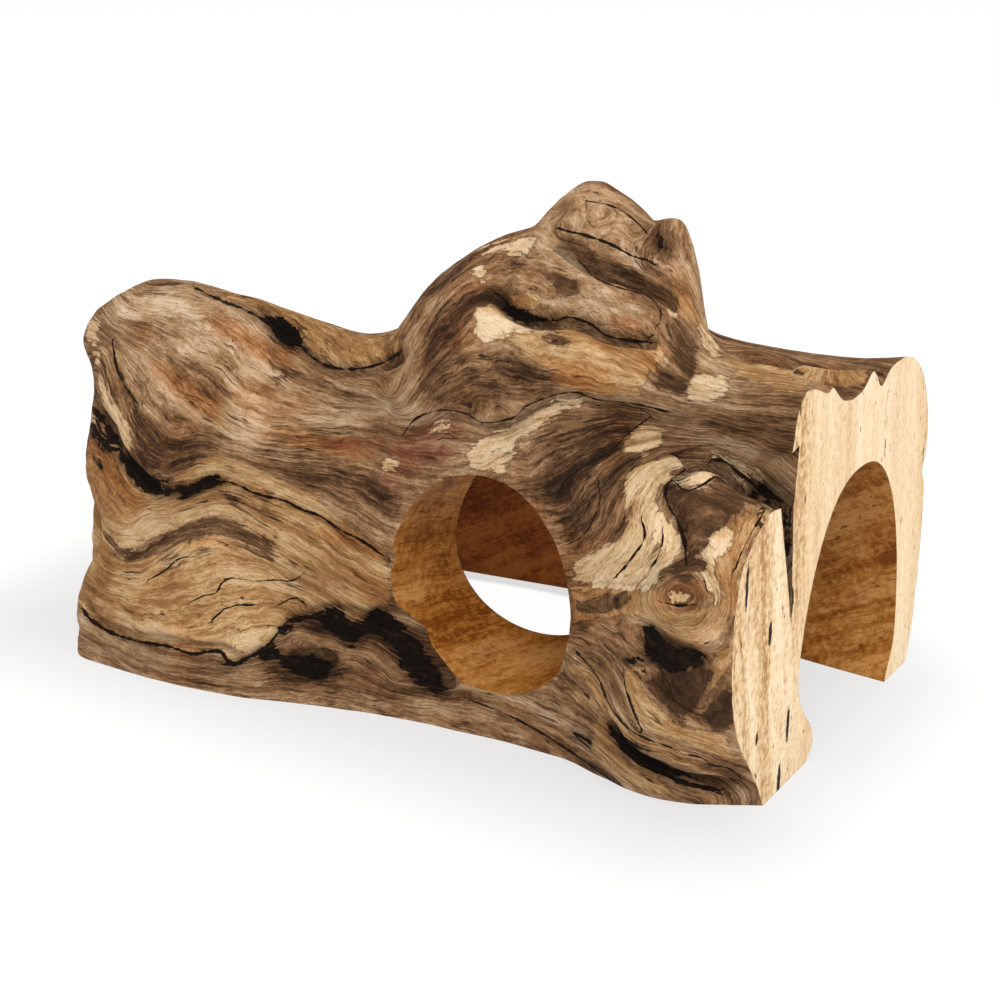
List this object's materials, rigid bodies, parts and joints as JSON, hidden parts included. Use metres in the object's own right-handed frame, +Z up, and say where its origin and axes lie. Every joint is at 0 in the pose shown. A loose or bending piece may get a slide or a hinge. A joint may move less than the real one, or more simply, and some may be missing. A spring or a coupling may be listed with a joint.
{
  "type": "java wood cave",
  "caption": "Hollowed block of weathered root wood, used as a hide for a small animal, with a sawn arched end and a round doorway in its front.",
  "frame": {"origin": "under the middle of the block's box, on the surface that it stands on", "axes": "+X along the block towards the sawn end, +Y from the doorway's side to the back, +Z up"},
  "size_m": [0.306, 0.1787, 0.1877],
  "materials": {
    "java_wood": "bare, sandblasted and hand smoothed"
  },
  "bodies": {
    "root": {"java_wood_cave": "java_wood"}
  },
  "joints": []
}
